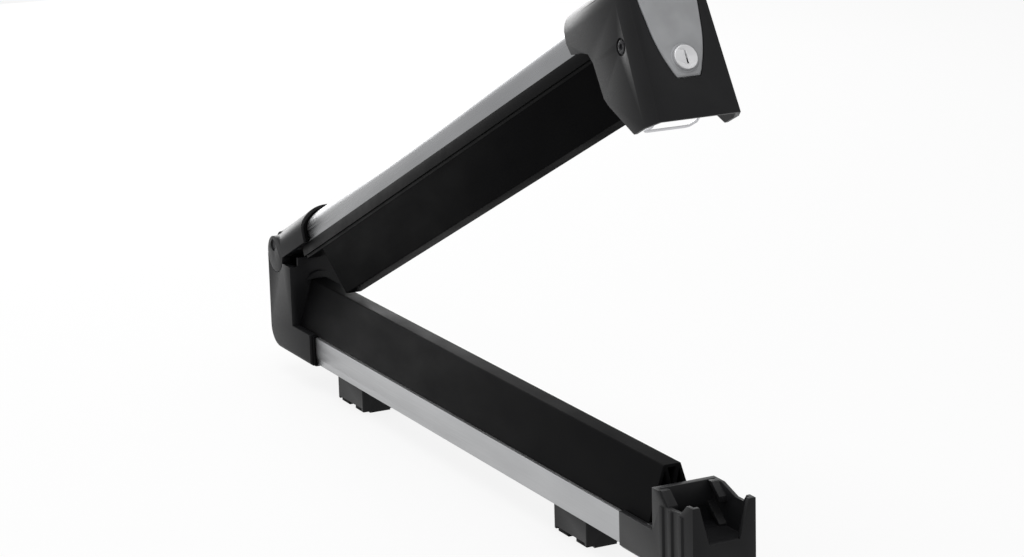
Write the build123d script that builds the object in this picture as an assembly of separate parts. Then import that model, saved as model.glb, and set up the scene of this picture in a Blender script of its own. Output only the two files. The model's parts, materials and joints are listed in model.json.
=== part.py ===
"""Roof ski carrier: a lower bar on two feet and an upper arm that closes onto it, with the skis
held between two rubber pads. The arm turns on a pin in a carriage that rises out of the hinge
housing as the arm closes, and a wire bail under the release button hooks into the receiver.

Millimetres. +X runs from the hinge to the receiver, +Z is up, and the feet stand on Z = 0.
The arm's pieces are drawn with the hinge pin at the origin and the arm level, then placed open.
"""
import os
from math import atan2, cos, radians, sin, sqrt
from build123d import *

# Whole carrier
carrier_length = 852.0
fit_gap = 0.3
running_gap = 0.05
seam_gap = 0.5
open_angle = 25.5
lift_travel = 51.0
cut_past = 1.0

# Feet
foot_height = 29.0
foot_length = 60.0
foot_width = 36.0
foot_flange = 4.5
foot_edge = 2.0
foot_relief_width = 7.2
foot_relief_height = 2.2
sole_thickness = 4.5
sole_bolt_clearance = 2.5
bolt_radius = 4.25
foot_screw_radius = 2.0
foot_screw_head_radius = 3.6
foot_screw_head_height = 3.0
foot_screw_socket = 1.6
foot_screw_offset = 17.0
hinge_foot_start = 140.0
latch_foot_start = 597.0

# Lower profile and its underside slot
profile_width = 52.0
lower_profile_height = 27.5
profile_wall = 2.4
lower_strip_height = 7.0
lower_strip_inset = 1.0
groove_height = 1.2
groove_depth = 1.0
slot_mouth = 12.0
slot_width = 25.0
slot_depth = 8.5
slot_lip = 3.0
slot_nut_length = 46.0
slot_nut_height = 5.0
slot_nut_bore = 3.4
slot_nut_gap = 0.1
tongue_clear = 7.0

# Rubber pads, one section for both
pad_height = 48.2
pad_tip_width = 16.2
pad_base_width = 46.0
pad_wall = 3.0
pad_web = 2.0
pad_web_depth = 26.0
pad_edge = 1.6
pad_key_width = 18.0
pad_key_height = 4.0
lower_pad_end = 771.0

# Hinge housing
hinge_width = 62.0
housing_depth = 60.0
housing_bottom = 26.5
housing_side_top = 119.0
housing_back_top = 123.0
housing_front_top = 128.0
housing_wall = 4.0
housing_corner = 22.0
housing_edge = 5.0
cheek = 9.0
sleeve_reach = 43.0
sleeve_top = 58.5
seal_length = 4.0
seal_wall = 2.2
profile_start = 64.0

# Hinge
pin_from_back = 19.0
pin_height = 134.0
pin_radius = 4.0
bush_wall = 2.0
knuckle_radius = 18.4
knuckle_drop = 9.0
carriage_knuckle = 13.0
carriage_hold = 26.0
carriage_frame = 4.8
carriage_recess = 9.6
carriage_shoulder = 20.0

# Arm, from the pin
arm_silver_bottom = -17.1
arm_side_top = -6.1
arm_crown_top = 13.3
arm_corner = 14.0
arm_profile_start = 46.0
arm_profile_end = 764.0
cap_length = 81.0
cap_nose = 16.5
cap_nose_radius = 15.0
carrier_start = 62.0
carrier_height = 13.1
carrier_lip = 10.5
upper_pad_start = 105.0
upper_pad_end = 752.0

# Lock head, from the pin
head_width = 84.0
head_rear = 723.0
head_face = 837.6
head_bottom = -108.4
head_wall = 3.0
head_side_top = -4.0
head_crown_top = 17.0
head_corner = 18.0
head_chamfer_length = 14.0
head_chamfer_width = 6.0
head_front_round = 12.0
head_block_end = 768.0
head_tab_low = -10.0
head_tab_slant = 12.0
head_tab_step = 2.0
head_underside = (
    (728.0, -21.0),
    (746.0, -25.0),
    (756.0, -29.0),
    (761.5, -38.0),
    (768.0, -69.0),
    (773.0, -76.0),
)
head_skirt_start = 805.0

# Release button and bail, from the pin
rocker_x = 811.0
rocker_drop = 40.0
rocker_radius = 3.0
button_bottom = -75.0
button_top = 3.0
button_half_widths = (10.0, 12.5, 20.7, 25.5, 27.0)
button_levels = (-75.0, -70.5, -50.4, -14.0, 3.0)
button_thickness = 5.0
button_proud = 1.2
button_gap = 0.7
button_pin_x = 829.0
button_pin_drop = 78.0
button_pin_radius = 2.0
button_ear_inner = 8.0
button_ear_outer = 14.0
button_ear_radius = 3.5
button_ear_height = 10.5
button_lug = 4.7
push_rib_low = -14.0
push_rib_height = 6.0
push_rib_half = 10.0
push_rib_end = 816.0
lock_drop = 60.3
lock_radius = 10.0
lock_proud = 3.0
lock_depth = 16.0
lock_sleeve_wall = 2.0
keyway_height = 11.0
keyway_width = 1.4
keyway_depth = 3.0
lock_face_round = 0.8
lock_cam_thickness = 3.0
lock_cam_half_width = 4.0
lock_cam_round = 1.5
bail_radius = 1.3
bail_half_width = 20.0
bail_leg_x = 806.0
bail_bar_x = 788.0
bail_drop = 107.0
bail_bend = 4.0
bail_socket = 10.0
lever_half_width = 25.0
lever_thickness = 8.0
lever_bottom = -66.0
lever_window_half = 13.0
lever_window_low = -54.0
lever_window_high = -30.0
lever_hub_radius = 6.6
lever_tail_half = 20.0
lever_tail_top = -4.0
pin_head_radius = 5.5
pin_pocket_radius = 7.2
pin_pocket_depth = 2.0
pin_socket_half_width = 2.4
pin_socket_depth = 1.5
spring_wire = 2.2
spring_end_gap = 1.0

# Receiver
receiver_width = 57.4
receiver_sleeve_start = 733.0
receiver_neck_start = 772.0
receiver_neck_width = 49.0
bulkhead_start = 788.0
bulkhead_end = 794.0
receiver_wall = 3.2
receiver_end_wall = 4.0
receiver_floor = 60.0
receiver_top = 98.0
near_scoop = ((809.0, 84.0), (834.0, 86.0))
far_scoop = ((826.0, 88.0), (838.0, 88.0))
horn_start = 845.0
notch_bottom = 62.0
notch_bottom_half = 14.0
notch_top_half = 23.5
tooth_reach = 6.5
tooth_thickness = 3.5
tooth_run = 18.5
tooth_fall = 15.0
first_tooth_top = 100.0
tooth_pitch = 23.0
rib_width = 7.0
rib_proud = 1.4
rib_bevel = 1.1
rib_starts = (800.0, 814.0, 830.0)
profile_end = 784.0

# Screws that hold the mouldings on the profiles
screw_radius = 2.5
screw_head_radius = 4.6
screw_head_height = 3.0
screw_length = 14.0
screw_head_edge = 1.0
screw_socket_radius = 1.25
screw_socket_depth = 1.5

# Places worked out from the sizes above
carriage_bottom = housing_side_top - lift_travel - carriage_hold
back_x = -carrier_length / 2
pin_x = back_x + pin_from_back
silver_bottom = foot_height
silver_top = foot_height + lower_profile_height
lower_pad_top = silver_top + pad_height
carrier_bottom = arm_silver_bottom - carrier_height
rocker_z = -rocker_drop
button_pin_z = -button_pin_drop
lock_z = -lock_drop
shaft_half = hinge_width / 2 - cheek
open_arm = Pos(pin_x, 0, pin_height) * Rot(0, -open_angle, 0)


def side_plate(points, y_low, y_high):
    """A plate from its outline in X and Z, between two places in Y."""
    outline = Polyline(*[(x, y_low, z) for x, z in points], close=True)
    return extrude(make_face(outline), amount=y_high - y_low, dir=(0, 1, 0))


def bar(points, x_low, x_high):
    """A bar from its section in Y and Z, between two places in X."""
    section = Polyline(*[(x_low, y, z) for y, z in points], close=True)
    return extrude(make_face(section), amount=x_high - x_low, dir=(1, 0, 0))


def block(x_low, x_high, y_low, y_high, z_low, z_high):
    size = (x_high - x_low, y_high - y_low, z_high - z_low)
    middle = ((x_low + x_high) / 2, (y_low + y_high) / 2, (z_low + z_high) / 2)
    return Pos(*middle) * Box(*size)


def rod_y(x, z, radius, y_low, y_high):
    return Pos(x, (y_low + y_high) / 2, z) * Rot(90, 0, 0) * Cylinder(radius, y_high - y_low)


def rod_z(x, y, radius, z_low, z_high):
    return Pos(x, y, (z_low + z_high) / 2) * Cylinder(radius, z_high - z_low)


def rod_x(y, z, radius, x_low, x_high):
    return Pos((x_low + x_high) / 2, y, z) * Rot(0, 90, 0) * Cylinder(radius, x_high - x_low)


def edges_along(solid, axis, test):
    return [edge for edge in solid.edges().filter_by(axis) if test(edge.center())]


def near(value, place):
    return abs(value - place) < cut_past


def crowned_bar(width, bottom, side_top, top, corner, x_low, x_high):
    """A bar with upright sides, a round shoulder each side and a crown that meets both smoothly."""
    side = width / 2 - corner
    rise = top - side_top
    crown = (side**2 + rise**2 - corner**2) / (2 * (rise - corner))
    reach = crown / (crown - corner)
    touch = (side * reach, top - crown + (crown - rise) * reach)
    half_turn = atan2(touch[1] - side_top, touch[0] - side) / 2
    shoulder = (side + corner * cos(half_turn), side_top + corner * sin(half_turn))

    def at(y, z):
        return (x_low, y, z)

    outline = [
        Line(at(-width / 2, side_top), at(-width / 2, bottom)),
        Line(at(-width / 2, bottom), at(width / 2, bottom)),
        Line(at(width / 2, bottom), at(width / 2, side_top)),
        ThreePointArc(at(width / 2, side_top), at(*shoulder), at(*touch)),
        ThreePointArc(at(*touch), at(0, top), at(-touch[0], touch[1])),
        ThreePointArc(at(-touch[0], touch[1]), at(-shoulder[0], shoulder[1]), at(-width / 2, side_top)),
    ]
    return extrude(make_face(outline), amount=x_high - x_low, dir=(1, 0, 0))


def pad_bar(base_z, up, x_low, x_high):
    """A hollow rubber pad: flared walls, a V of two webs under the flat tip, a key in its seat."""
    tip, base, tall = pad_tip_width / 2, pad_base_width / 2, pad_height
    flare = (base - tip) / tall
    slant = sqrt(1 + flare**2)

    def section(*points):
        return bar([(y, base_z + up * z) for y, z in points], x_low, x_high)

    outer = section((-base, 0), (base, 0), (tip, tall), (-tip, tall))
    tip_z = base_z + up * tall
    outer = fillet(edges_along(outer, Axis.X, lambda c: near(c.Z, tip_z)), pad_edge)

    def inner_half(z):
        return base - flare * z - pad_wall * slant

    roof = tall - pad_wall
    meet = roof - pad_web_depth
    web_top = inner_half(roof)
    lean = web_top / pad_web_depth
    web = pad_web * sqrt(1 + lean**2)
    inside_v = section((-web_top + web, roof), (web_top - web, roof), (0, meet + web / lean))
    floor = pad_wall
    side_room = [
        (web / 2, floor),
        (inner_half(floor), floor),
        (inner_half(roof - web), roof - web),
        (web / 2, meet - web / 2),
    ]
    hollow = inside_v + section(*side_room) + section(*[(-y, z) for y, z in side_room])
    half_key, key_end = pad_key_width / 2, -pad_key_height
    key = section((-half_key, key_end), (half_key, key_end), (half_key, 0), (-half_key, 0))
    return outer - hollow + key


def screw_up(x, y, seat):
    """A pan head screw driven upwards, with its head under the seat."""
    low = seat - screw_head_height
    head = rod_z(x, y, screw_head_radius, low, seat)
    head = fillet(head.edges().filter_by(GeomType.CIRCLE).sort_by(Axis.Z)[0], screw_head_edge)
    socket = rod_z(x, y, screw_socket_radius, low, low + screw_socket_depth)
    return head - socket + rod_z(x, y, screw_radius, seat, seat + screw_length)


def screw_hole(x, y, seat, depth):
    pocket = rod_z(x, y, screw_head_radius + fit_gap, seat - depth, seat)
    return pocket + rod_z(x, y, screw_radius, seat, seat + screw_length)


def lower_profile():
    half, step = profile_width / 2, profile_width / 2 - lower_strip_inset
    strip = silver_bottom + lower_strip_height
    x_low, x_high = back_x + profile_start, back_x + profile_end
    body = block(x_low, x_high, -half, half, strip, silver_top)
    body += block(x_low, x_high, -half + groove_depth, half - groove_depth, strip - groove_height, strip)
    body += block(x_low, x_high, -step, step, silver_bottom, strip - groove_height)
    slot_roof = silver_bottom + slot_lip + slot_depth
    body -= block(x_low, x_high, -slot_mouth / 2, slot_mouth / 2, silver_bottom, slot_roof)
    body -= block(x_low, x_high, -slot_width / 2, slot_width / 2, silver_bottom + slot_lip, slot_roof)
    web = slot_width / 2 + profile_wall
    chamber_top = silver_top - pad_key_height - profile_wall
    for sign in (-1, 1):
        ends = sorted((sign * web, sign * (step - profile_wall)))
        body -= block(x_low, x_high, *ends, silver_bottom + profile_wall, chamber_top)
    key_half = pad_key_width / 2
    body -= block(x_low, x_high, -key_half, key_half, silver_top - pad_key_height, silver_top)
    room = web - profile_wall
    body -= block(x_low, x_high, -room, room, slot_roof + profile_wall, chamber_top)
    for x in housing_screw_places() + receiver_screw_places():
        body -= rod_z(x, -screw_line(), screw_radius, silver_bottom, silver_bottom + screw_length)
        body -= rod_z(x, screw_line(), screw_radius, silver_bottom, silver_bottom + screw_length)
    return body


def screw_line():
    return slot_width / 2 + profile_wall / 2


def housing_screw_places():
    return [back_x + housing_depth + sleeve_reach / 2]


def receiver_screw_places():
    return [back_x + (receiver_sleeve_start + receiver_neck_start) / 2]


def profile_pocket(x_low, x_high, gap=0.0):
    half = profile_width / 2 + gap
    return block(x_low, x_high, -half, half, silver_bottom - gap, silver_top + gap)


def lower_seal():
    x_low = back_x + housing_depth + sleeve_reach
    x_high = x_low + seal_length
    half = profile_width / 2 + seal_wall
    top = silver_top + seal_wall
    ring = block(x_low, x_high, -half, half, silver_bottom - seal_wall, top)
    ring = fillet(edges_along(ring, Axis.X, lambda c: True), seal_wall)
    pad_room = block(x_low, x_high, -pad_base_width / 2, pad_base_width / 2, silver_top, top + cut_past)
    step = block(x_low, x_high, -half, half, silver_top + seal_wall / 2, top + cut_past)
    return ring - profile_pocket(x_low, x_high) - pad_room - step


def knuckle_centre():
    turn = radians(open_angle)
    return pin_x + knuckle_drop * sin(turn), pin_height - knuckle_drop * cos(turn)


def hinge_housing():
    """A tall box that the carriage rises out of, with a sleeve over the end of the profile."""
    half = hinge_width / 2
    inner_x, tip_x = back_x + housing_depth, back_x + housing_depth + sleeve_reach
    riser = block(back_x, inner_x, -half, half, housing_bottom, housing_side_top)
    body = riser + block(inner_x, tip_x, -half, half, housing_bottom, sleeve_top)
    back_low = edges_along(body, Axis.Y, lambda c: near(c.X, back_x) and near(c.Z, housing_bottom))
    body = fillet(back_low, housing_corner)

    seat_x, seat_z = knuckle_centre()
    lip_x = seat_x - knuckle_radius - seam_gap
    body += block(back_x, lip_x, -half, half, housing_side_top - cut_past, housing_back_top)
    body = fillet(edges_along(body, Axis.Z, lambda c: near(c.X, back_x)), housing_edge)
    front_low = housing_side_top - cut_past
    body += block(inner_x - housing_wall, inner_x, -shaft_half, shaft_half, front_low, housing_front_top)
    body -= rod_y(seat_x, seat_z, knuckle_radius + seam_gap, -half, half)

    shaft_x = (back_x + housing_wall, inner_x - housing_wall)
    shaft_z = (carriage_bottom - housing_wall, housing_front_top + cut_past)
    body -= block(*shaft_x, -shaft_half, shaft_half, *shaft_z)
    body -= profile_pocket(back_x + profile_start, tip_x)
    base_half, key_half = pad_base_width / 2, pad_key_width / 2
    body -= block(inner_x, tip_x, -base_half, base_half, silver_top, sleeve_top + cut_past)
    key_low = silver_top - pad_key_height
    body -= block(inner_x, back_x + profile_start, -key_half, key_half, key_low, silver_top)

    hood = rod_x(0, lower_pad_top - pad_tip_width / 2, pad_tip_width, inner_x, inner_x + housing_wall)
    hood_low = lower_pad_top + fit_gap
    hood &= block(inner_x, inner_x + housing_wall, -half, half, hood_low, housing_side_top)
    body += hood
    for x in housing_screw_places():
        for y in (-screw_line(), screw_line()):
            body -= screw_hole(x, y, silver_bottom, screw_head_height)
    return body


def hinge_carriage():
    """The slide inside the housing, with the knuckle that carries the hinge pin."""
    x_low = back_x + housing_wall + fit_gap
    x_high = back_x + housing_depth - housing_wall - fit_gap
    half = shaft_half - fit_gap
    pillar_top = pin_height - carriage_shoulder
    pillar = block(x_low, x_high, -half, half, carriage_bottom, pillar_top)
    low = carriage_bottom + carriage_frame
    high = pillar_top - 2 * carriage_frame
    for sign in (-1, 1):
        ends = sorted((sign * (half - carriage_recess), sign * half))
        pillar -= block(x_low + carriage_frame, x_high - carriage_frame, *ends, low, high)
    neck = block(pin_x - carriage_knuckle, pin_x + carriage_knuckle, -half, half, low, pin_height)
    knuckle = rod_y(pin_x, pin_height, carriage_knuckle, -half, half)
    return pillar + neck + knuckle - rod_y(pin_x, pin_height, pin_radius, -half, half)


def hinge_pin():
    half = hinge_width / 2 - running_gap - seam_gap * 2
    pin = rod_y(pin_x, pin_height, pin_radius, -half, half)
    return chamfer(pin.edges().filter_by(GeomType.CIRCLE), seam_gap)


def hinge_bushes():
    """One plain bush in each ear of the cap, drawn with the pin at the origin."""
    inner, outer = pin_radius + running_gap, pin_radius + bush_wall
    low, high = shaft_half + fit_gap, hinge_width / 2 - seam_gap * 2
    bushes = [rod_y(0, 0, outer, low, high) - rod_y(0, 0, inner, low, high)]
    bushes.append(rod_y(0, 0, outer, -high, -low) - rod_y(0, 0, inner, -high, -low))
    return Compound(children=bushes)


def arm_bar(extra, x_low, x_high):
    return crowned_bar(
        profile_width + 2 * extra,
        arm_silver_bottom,
        arm_side_top,
        arm_crown_top + extra,
        arm_corner + extra,
        x_low,
        x_high,
    )


def upper_profile():
    body = arm_bar(0, arm_profile_start, arm_profile_end)
    wall = profile_wall
    room = crowned_bar(
        profile_width - 2 * wall,
        arm_silver_bottom + wall,
        arm_side_top,
        arm_crown_top - wall,
        arm_corner - wall,
        arm_profile_start,
        arm_profile_end,
    )
    half_rib = wall / 2
    rib_z = (arm_silver_bottom, arm_crown_top)
    rib = block(arm_profile_start, arm_profile_end, -half_rib, half_rib, *rib_z)
    return body - (room - rib)


def hinge_cap():
    """The moulding on the arm's end: a round nose and two ears that turn in the housing's seat."""
    half = hinge_width / 2
    extra = half - profile_width / 2
    outer = arm_bar(extra, -cap_nose, cap_length)
    nose = block(-cap_nose, cap_length, -half, half, arm_silver_bottom, arm_crown_top + extra)
    nose_edge = edges_along(nose, Axis.Y, lambda c: c.X < 0 and c.Z > 0)
    outer &= fillet(nose_edge, cap_nose_radius)
    inside = shaft_half + fit_gap
    for low, high in ((-half, -inside), (inside, half)):
        outer += rod_y(0, -knuckle_drop, knuckle_radius, low, high)
    pocket = carriage_knuckle + seam_gap * 2
    outer -= rod_y(0, 0, pocket, -inside, inside)
    neck_room = 2 * knuckle_radius
    outer -= block(-neck_room, pocket, -inside, inside, -neck_room, pin_radius)
    outer -= rod_y(0, 0, pin_radius + bush_wall, -half, half)
    outer -= arm_bar(0, arm_profile_start, cap_length)
    side = profile_width / 2
    outer -= block(carrier_start, cap_length, -side, side, -neck_room, arm_silver_bottom)
    return outer


def upper_seal():
    ring = arm_bar(seal_wall, cap_length, cap_length + seal_length)
    return ring - arm_bar(0, cap_length, cap_length + seal_length)


def pad_carrier():
    """The dark channel under the silver profile: two side skirts and a floor that holds the pad."""
    ends = (carrier_start, arm_profile_end)
    half, lip = profile_width / 2, profile_width / 2 - profile_wall
    seat, key = pad_base_width / 2, pad_key_width / 2
    skirt_bottom = arm_silver_bottom - carrier_lip
    body = block(*ends, -half, half, skirt_bottom, arm_silver_bottom)
    body -= block(*ends, -lip, lip, skirt_bottom, skirt_bottom + profile_wall)
    body += block(*ends, -seat, seat, carrier_bottom, arm_silver_bottom - profile_wall)
    return body - block(*ends, -key, key, carrier_bottom, carrier_bottom + pad_key_height)


def head_outline():
    """The side of the lock head: a tab over the profile, a round inside corner and a long skirt."""
    points = [(head_rear, head_tab_low)] + list(head_underside)
    points += [(head_skirt_start, head_bottom), (head_face, head_bottom), (head_face, head_crown_top)]
    points += [(head_rear + head_tab_slant, head_crown_top), (head_rear, head_crown_top - head_tab_step)]
    return points


def button_outline(gap):
    sides = [(half + gap, level) for half, level in zip(button_half_widths, button_levels)]
    sides[0] = (sides[0][0], button_bottom - gap)
    sides[-1] = (sides[-1][0], button_top + gap)
    return sides + [(-half, level) for half, level in reversed(sides)]


def head_form(inset, x_low, bottom):
    """The head's outer form, or the room in it: a crown, a round front top and bevelled corners."""
    half, face, top = head_width / 2 - inset, head_face - inset, head_crown_top - inset
    form = crowned_bar(2 * half, bottom, head_side_top, top, head_corner - inset, x_low, face)
    for sign in (-1, 1):
        corner = [
            (face, sign * (half - head_chamfer_width)),
            (face, sign * half),
            (face - head_chamfer_length, sign * half),
        ]
        wedge = make_face(Polyline(*[(x, y, bottom) for x, y in corner], close=True))
        form -= extrude(wedge, amount=top - bottom + cut_past, dir=(0, 0, 1))
    roof = block(x_low, face, -half, half, bottom, top)
    roof_edge = edges_along(roof, Axis.Y, lambda c: near(c.X, face) and c.Z > 0)
    return form & fillet(roof_edge, head_front_round - inset)


def lock_head():
    """A hollow moulding over the arm's end, with bosses for the rocker pin and lugs for the button."""
    half = head_width / 2
    outer = head_form(0, head_rear, head_bottom)
    outer &= side_plate(head_outline(), -half, half)
    body = outer - head_form(head_wall, head_block_end, head_bottom - cut_past)
    body -= bar(button_outline(button_gap), head_face - head_wall - cut_past, head_face + cut_past)
    body -= arm_bar(0, head_rear, arm_profile_end)
    side = profile_width / 2
    body -= block(head_rear, arm_profile_end, -side, side, head_bottom, arm_silver_bottom)
    body -= rod_y(rocker_x, rocker_z, rocker_radius, -half, half)
    boss = lever_half_width + fit_gap
    for sign in (-1, 1):
        pocket = sorted((sign * (half - pin_pocket_depth), sign * half))
        body -= rod_y(rocker_x, rocker_z, pin_pocket_radius, *pocket)
        ends = sorted((sign * boss, sign * (half - head_wall)))
        body += rod_y(rocker_x, rocker_z, rocker_radius * 2, *ends)
        body -= rod_y(rocker_x, rocker_z, rocker_radius, *ends)
    lug_low = button_ear_outer + fit_gap
    for low, high in ((-lug_low - button_lug, -lug_low), (lug_low, lug_low + button_lug)):
        lug_x = (button_pin_x, head_face - cut_past)
        lug = block(*lug_x, low, high, button_pin_z - button_lug, button_pin_z + button_lug)
        lug += rod_y(button_pin_x, button_pin_z, button_lug, low, high)
        body += lug - rod_y(button_pin_x, button_pin_z, button_pin_radius, low, high)
    return body


def button_pin():
    reach = button_ear_outer + fit_gap + button_lug
    return rod_y(button_pin_x, button_pin_z, button_pin_radius, -reach, reach)


def rocker_pin():
    seat = head_width / 2 - pin_pocket_depth
    end = head_width / 2 - fit_gap
    pin = rod_y(rocker_x, rocker_z, rocker_radius, -seat, seat)
    pin += rod_y(rocker_x, rocker_z, pin_head_radius, -end, -seat)
    pin += rod_y(rocker_x, rocker_z, pin_head_radius, seat, end)
    hexagon = RegularPolygon(pin_socket_half_width, 6, major_radius=False)
    socket = Pos(rocker_x, pin_socket_depth - end, rocker_z) * Rot(90, 0, 0) * hexagon
    return pin - extrude(socket, amount=pin_pocket_depth, dir=(0, -1, 0))


def release_button():
    """The button tips about a pin at its foot, and the rib on its back pushes the lever's tail."""
    front = head_face + button_proud
    back = front - button_thickness
    plate = bar(button_outline(0), back, front)
    body = chamfer(plate.faces().sort_by(Axis.X)[-1].edges(), button_proud)
    collar_x = (front - lock_depth, front - button_proud)
    collar = rod_x(0, lock_z, lock_radius + lock_sleeve_wall * 2, *collar_x)
    body += collar & bar(button_outline(0), *collar_x)
    rib_high = push_rib_low + push_rib_height
    body += block(push_rib_end, back, -push_rib_half, push_rib_half, push_rib_low, rib_high)
    reach, wide = button_ear_radius, button_ear_outer
    ear_top = button_pin_z + button_ear_height
    for low, high in ((-wide, -button_ear_inner), (button_ear_inner, wide)):
        body += block(button_pin_x - reach, back, low, high, button_pin_z, ear_top)
        body += rod_y(button_pin_x, button_pin_z, reach, low, high)
    body -= rod_y(button_pin_x, button_pin_z, button_pin_radius + running_gap, -wide, wide)
    seat = lock_radius + lock_sleeve_wall
    return body - rod_x(0, lock_z, seat, front - lock_depth, front + cut_past)


def lock_sleeve():
    front = head_face + button_proud
    outer = rod_x(0, lock_z, lock_radius + lock_sleeve_wall, front - lock_depth, front)
    return outer - rod_x(0, lock_z, lock_radius + running_gap, front - lock_depth, front)


def lock_core():
    front = head_face + button_proud
    face = front + lock_proud
    core = rod_x(0, lock_z, lock_radius, front - lock_depth, face)
    core = fillet(core.edges().filter_by(GeomType.CIRCLE).sort_by(Axis.X)[-1], lock_face_round)
    half, tall = keyway_width / 2, keyway_height / 2
    return core - block(face - keyway_depth, face + cut_past, -half, half, lock_z - tall, lock_z + tall)


def lock_cam():
    """The tongue on the back of the core."""
    back = head_face + button_proud - lock_depth
    half = lock_cam_half_width
    tongue = block(back - lock_cam_thickness, back, -half, half, lock_z - half, lock_z + lock_radius)
    return fillet(edges_along(tongue, Axis.X, lambda c: True), lock_cam_round)


def bail_path():
    top, low = lever_bottom + bail_socket, -bail_drop
    side = bail_half_width
    corners = [
        (bail_leg_x, -side, top),
        (bail_leg_x, -side, low),
        (bail_bar_x, -side, low),
        (bail_bar_x, side, low),
        (bail_leg_x, side, low),
        (bail_leg_x, side, top),
    ]
    return FilletPolyline(*corners, radius=bail_bend)


def wire_bail():
    path = bail_path()
    return sweep(Plane(path @ 0, z_dir=path % 0) * Circle(bail_radius), path=path)


def bail_lever():
    """A lever on the rocker pin: the bail hangs from its lower end and the button pushes its tail."""
    half, thick = lever_half_width, lever_thickness / 2
    body = block(bail_leg_x - thick, bail_leg_x + thick, -half, half, lever_bottom, rocker_z)
    body += rod_y(rocker_x, rocker_z, lever_hub_radius, -half, half)
    tail = lever_tail_half
    body += block(rocker_x - thick, rocker_x + thick, -tail, tail, rocker_z, lever_tail_top)
    window = lever_window_half
    x_low, x_high = bail_leg_x - lever_thickness, rocker_x + lever_thickness
    body -= block(x_low, x_high, -window, window, lever_window_low, lever_window_high)
    body -= rod_y(rocker_x, rocker_z, rocker_radius + running_gap, -half, half)
    for y in (-bail_half_width, bail_half_width):
        body -= rod_z(bail_leg_x, y, bail_radius, lever_bottom, lever_bottom + bail_socket)
    return body


def release_spring():
    """The coil round the rocker pin, in the lever's window, drawn as its closed outer tube."""
    reach = lever_window_half - spring_end_gap
    coil = rod_y(rocker_x, rocker_z, rocker_radius + spring_wire, -reach, reach)
    return coil - rod_y(rocker_x, rocker_z, rocker_radius, -reach, reach)


def scoop_line(points):
    """The top edge of one side wall, from the bulkhead to the horn."""
    inner = [(back_x + x, z) for x, z in points]
    start = (back_x + bulkhead_end, receiver_top)
    horn = [(back_x + horn_start, receiver_top - 1), (carrier_length / 2, receiver_top - 1)]
    return [start] + inner + horn


def tooth(top_z, y_low, y_high):
    """One inclined ratchet plate, from inside the bulkhead out and down."""
    face, tip = back_x + bulkhead_end, back_x + bulkhead_end + tooth_run
    fall = tooth_fall / tooth_run
    thick = tooth_thickness * sqrt(1 + fall**2)
    root, root_top = face - cut_past, top_z + fall * cut_past
    tip_top = top_z - tooth_fall
    points = [(root, root_top), (tip, tip_top), (tip, tip_top - thick), (root, root_top - thick)]
    return side_plate(points, y_low, y_high)


def latch_receiver():
    """A sleeve over the profile's end and an open box: scooped sides, a notched end, two ratchets."""
    half = receiver_width / 2
    end_x = carrier_length / 2
    sleeve_x, neck_x = back_x + receiver_sleeve_start, back_x + receiver_neck_start
    bulk_x, room_x = back_x + bulkhead_start, back_x + bulkhead_end
    sleeve = block(sleeve_x, end_x, -half, half, housing_bottom, sleeve_top)
    sleeve = chamfer(edges_along(sleeve, Axis.X, lambda c: c.Z < foot_height), receiver_wall)
    neck_half = receiver_neck_width / 2
    neck = block(neck_x, room_x, -neck_half, neck_half, sleeve_top - cut_past, receiver_top)
    box = block(bulk_x, end_x, -half, half, housing_bottom + receiver_wall, receiver_top)
    body = sleeve + neck + box

    above = receiver_top + cut_past
    for line, ends in ((near_scoop, (-half - cut_past, 0)), (far_scoop, (0, half + cut_past))):
        edge = scoop_line(line)
        body -= side_plate(edge + [(end_x, above), (edge[0][0], above)], *ends)
    inner = half - receiver_wall
    cavity_end = end_x - receiver_end_wall
    body -= block(room_x, cavity_end, -inner, inner, receiver_floor, above)
    notch = [
        (-notch_bottom_half, notch_bottom),
        (notch_bottom_half, notch_bottom),
        (notch_top_half, above),
        (-notch_top_half, above),
    ]
    body -= bar(notch, cavity_end - cut_past, end_x + cut_past)

    room = block(bulk_x, cavity_end, -half, half, receiver_floor - cut_past, receiver_top)
    root, tip = inner + receiver_wall / 2, inner - tooth_reach
    for level in (first_tooth_top, first_tooth_top - tooth_pitch):
        for ends in ((-root, -tip), (tip, root)):
            body += tooth(level, *ends) & room
    rib_x = [back_x + start for start in rib_starts]
    rib_z = (housing_bottom + receiver_wall * 2, near_scoop[0][1] - cut_past)
    for x in rib_x:
        for sign in (-1, 1):
            ends = sorted((sign * (half + rib_proud), sign * (half - cut_past)))
            rib = block(x, x + rib_width, *ends, *rib_z)
            outer_edges = edges_along(rib, Axis.Z, lambda c: abs(c.Y) > half)
            body += chamfer(outer_edges, rib_bevel)

    body -= profile_pocket(sleeve_x, back_x + profile_end)
    base_half = pad_base_width / 2
    pad_end = back_x + lower_pad_end
    body -= block(sleeve_x, pad_end, -base_half, base_half, silver_top, sleeve_top + cut_past)
    hollow_x = (back_x + profile_end + receiver_end_wall, cavity_end)
    body -= block(*hollow_x, -inner, inner, housing_bottom - cut_past, receiver_floor - receiver_wall)
    for x in receiver_screw_places():
        for y in (-screw_line(), screw_line()):
            body -= screw_hole(x, y, silver_bottom, screw_head_height)
    return body


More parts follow.
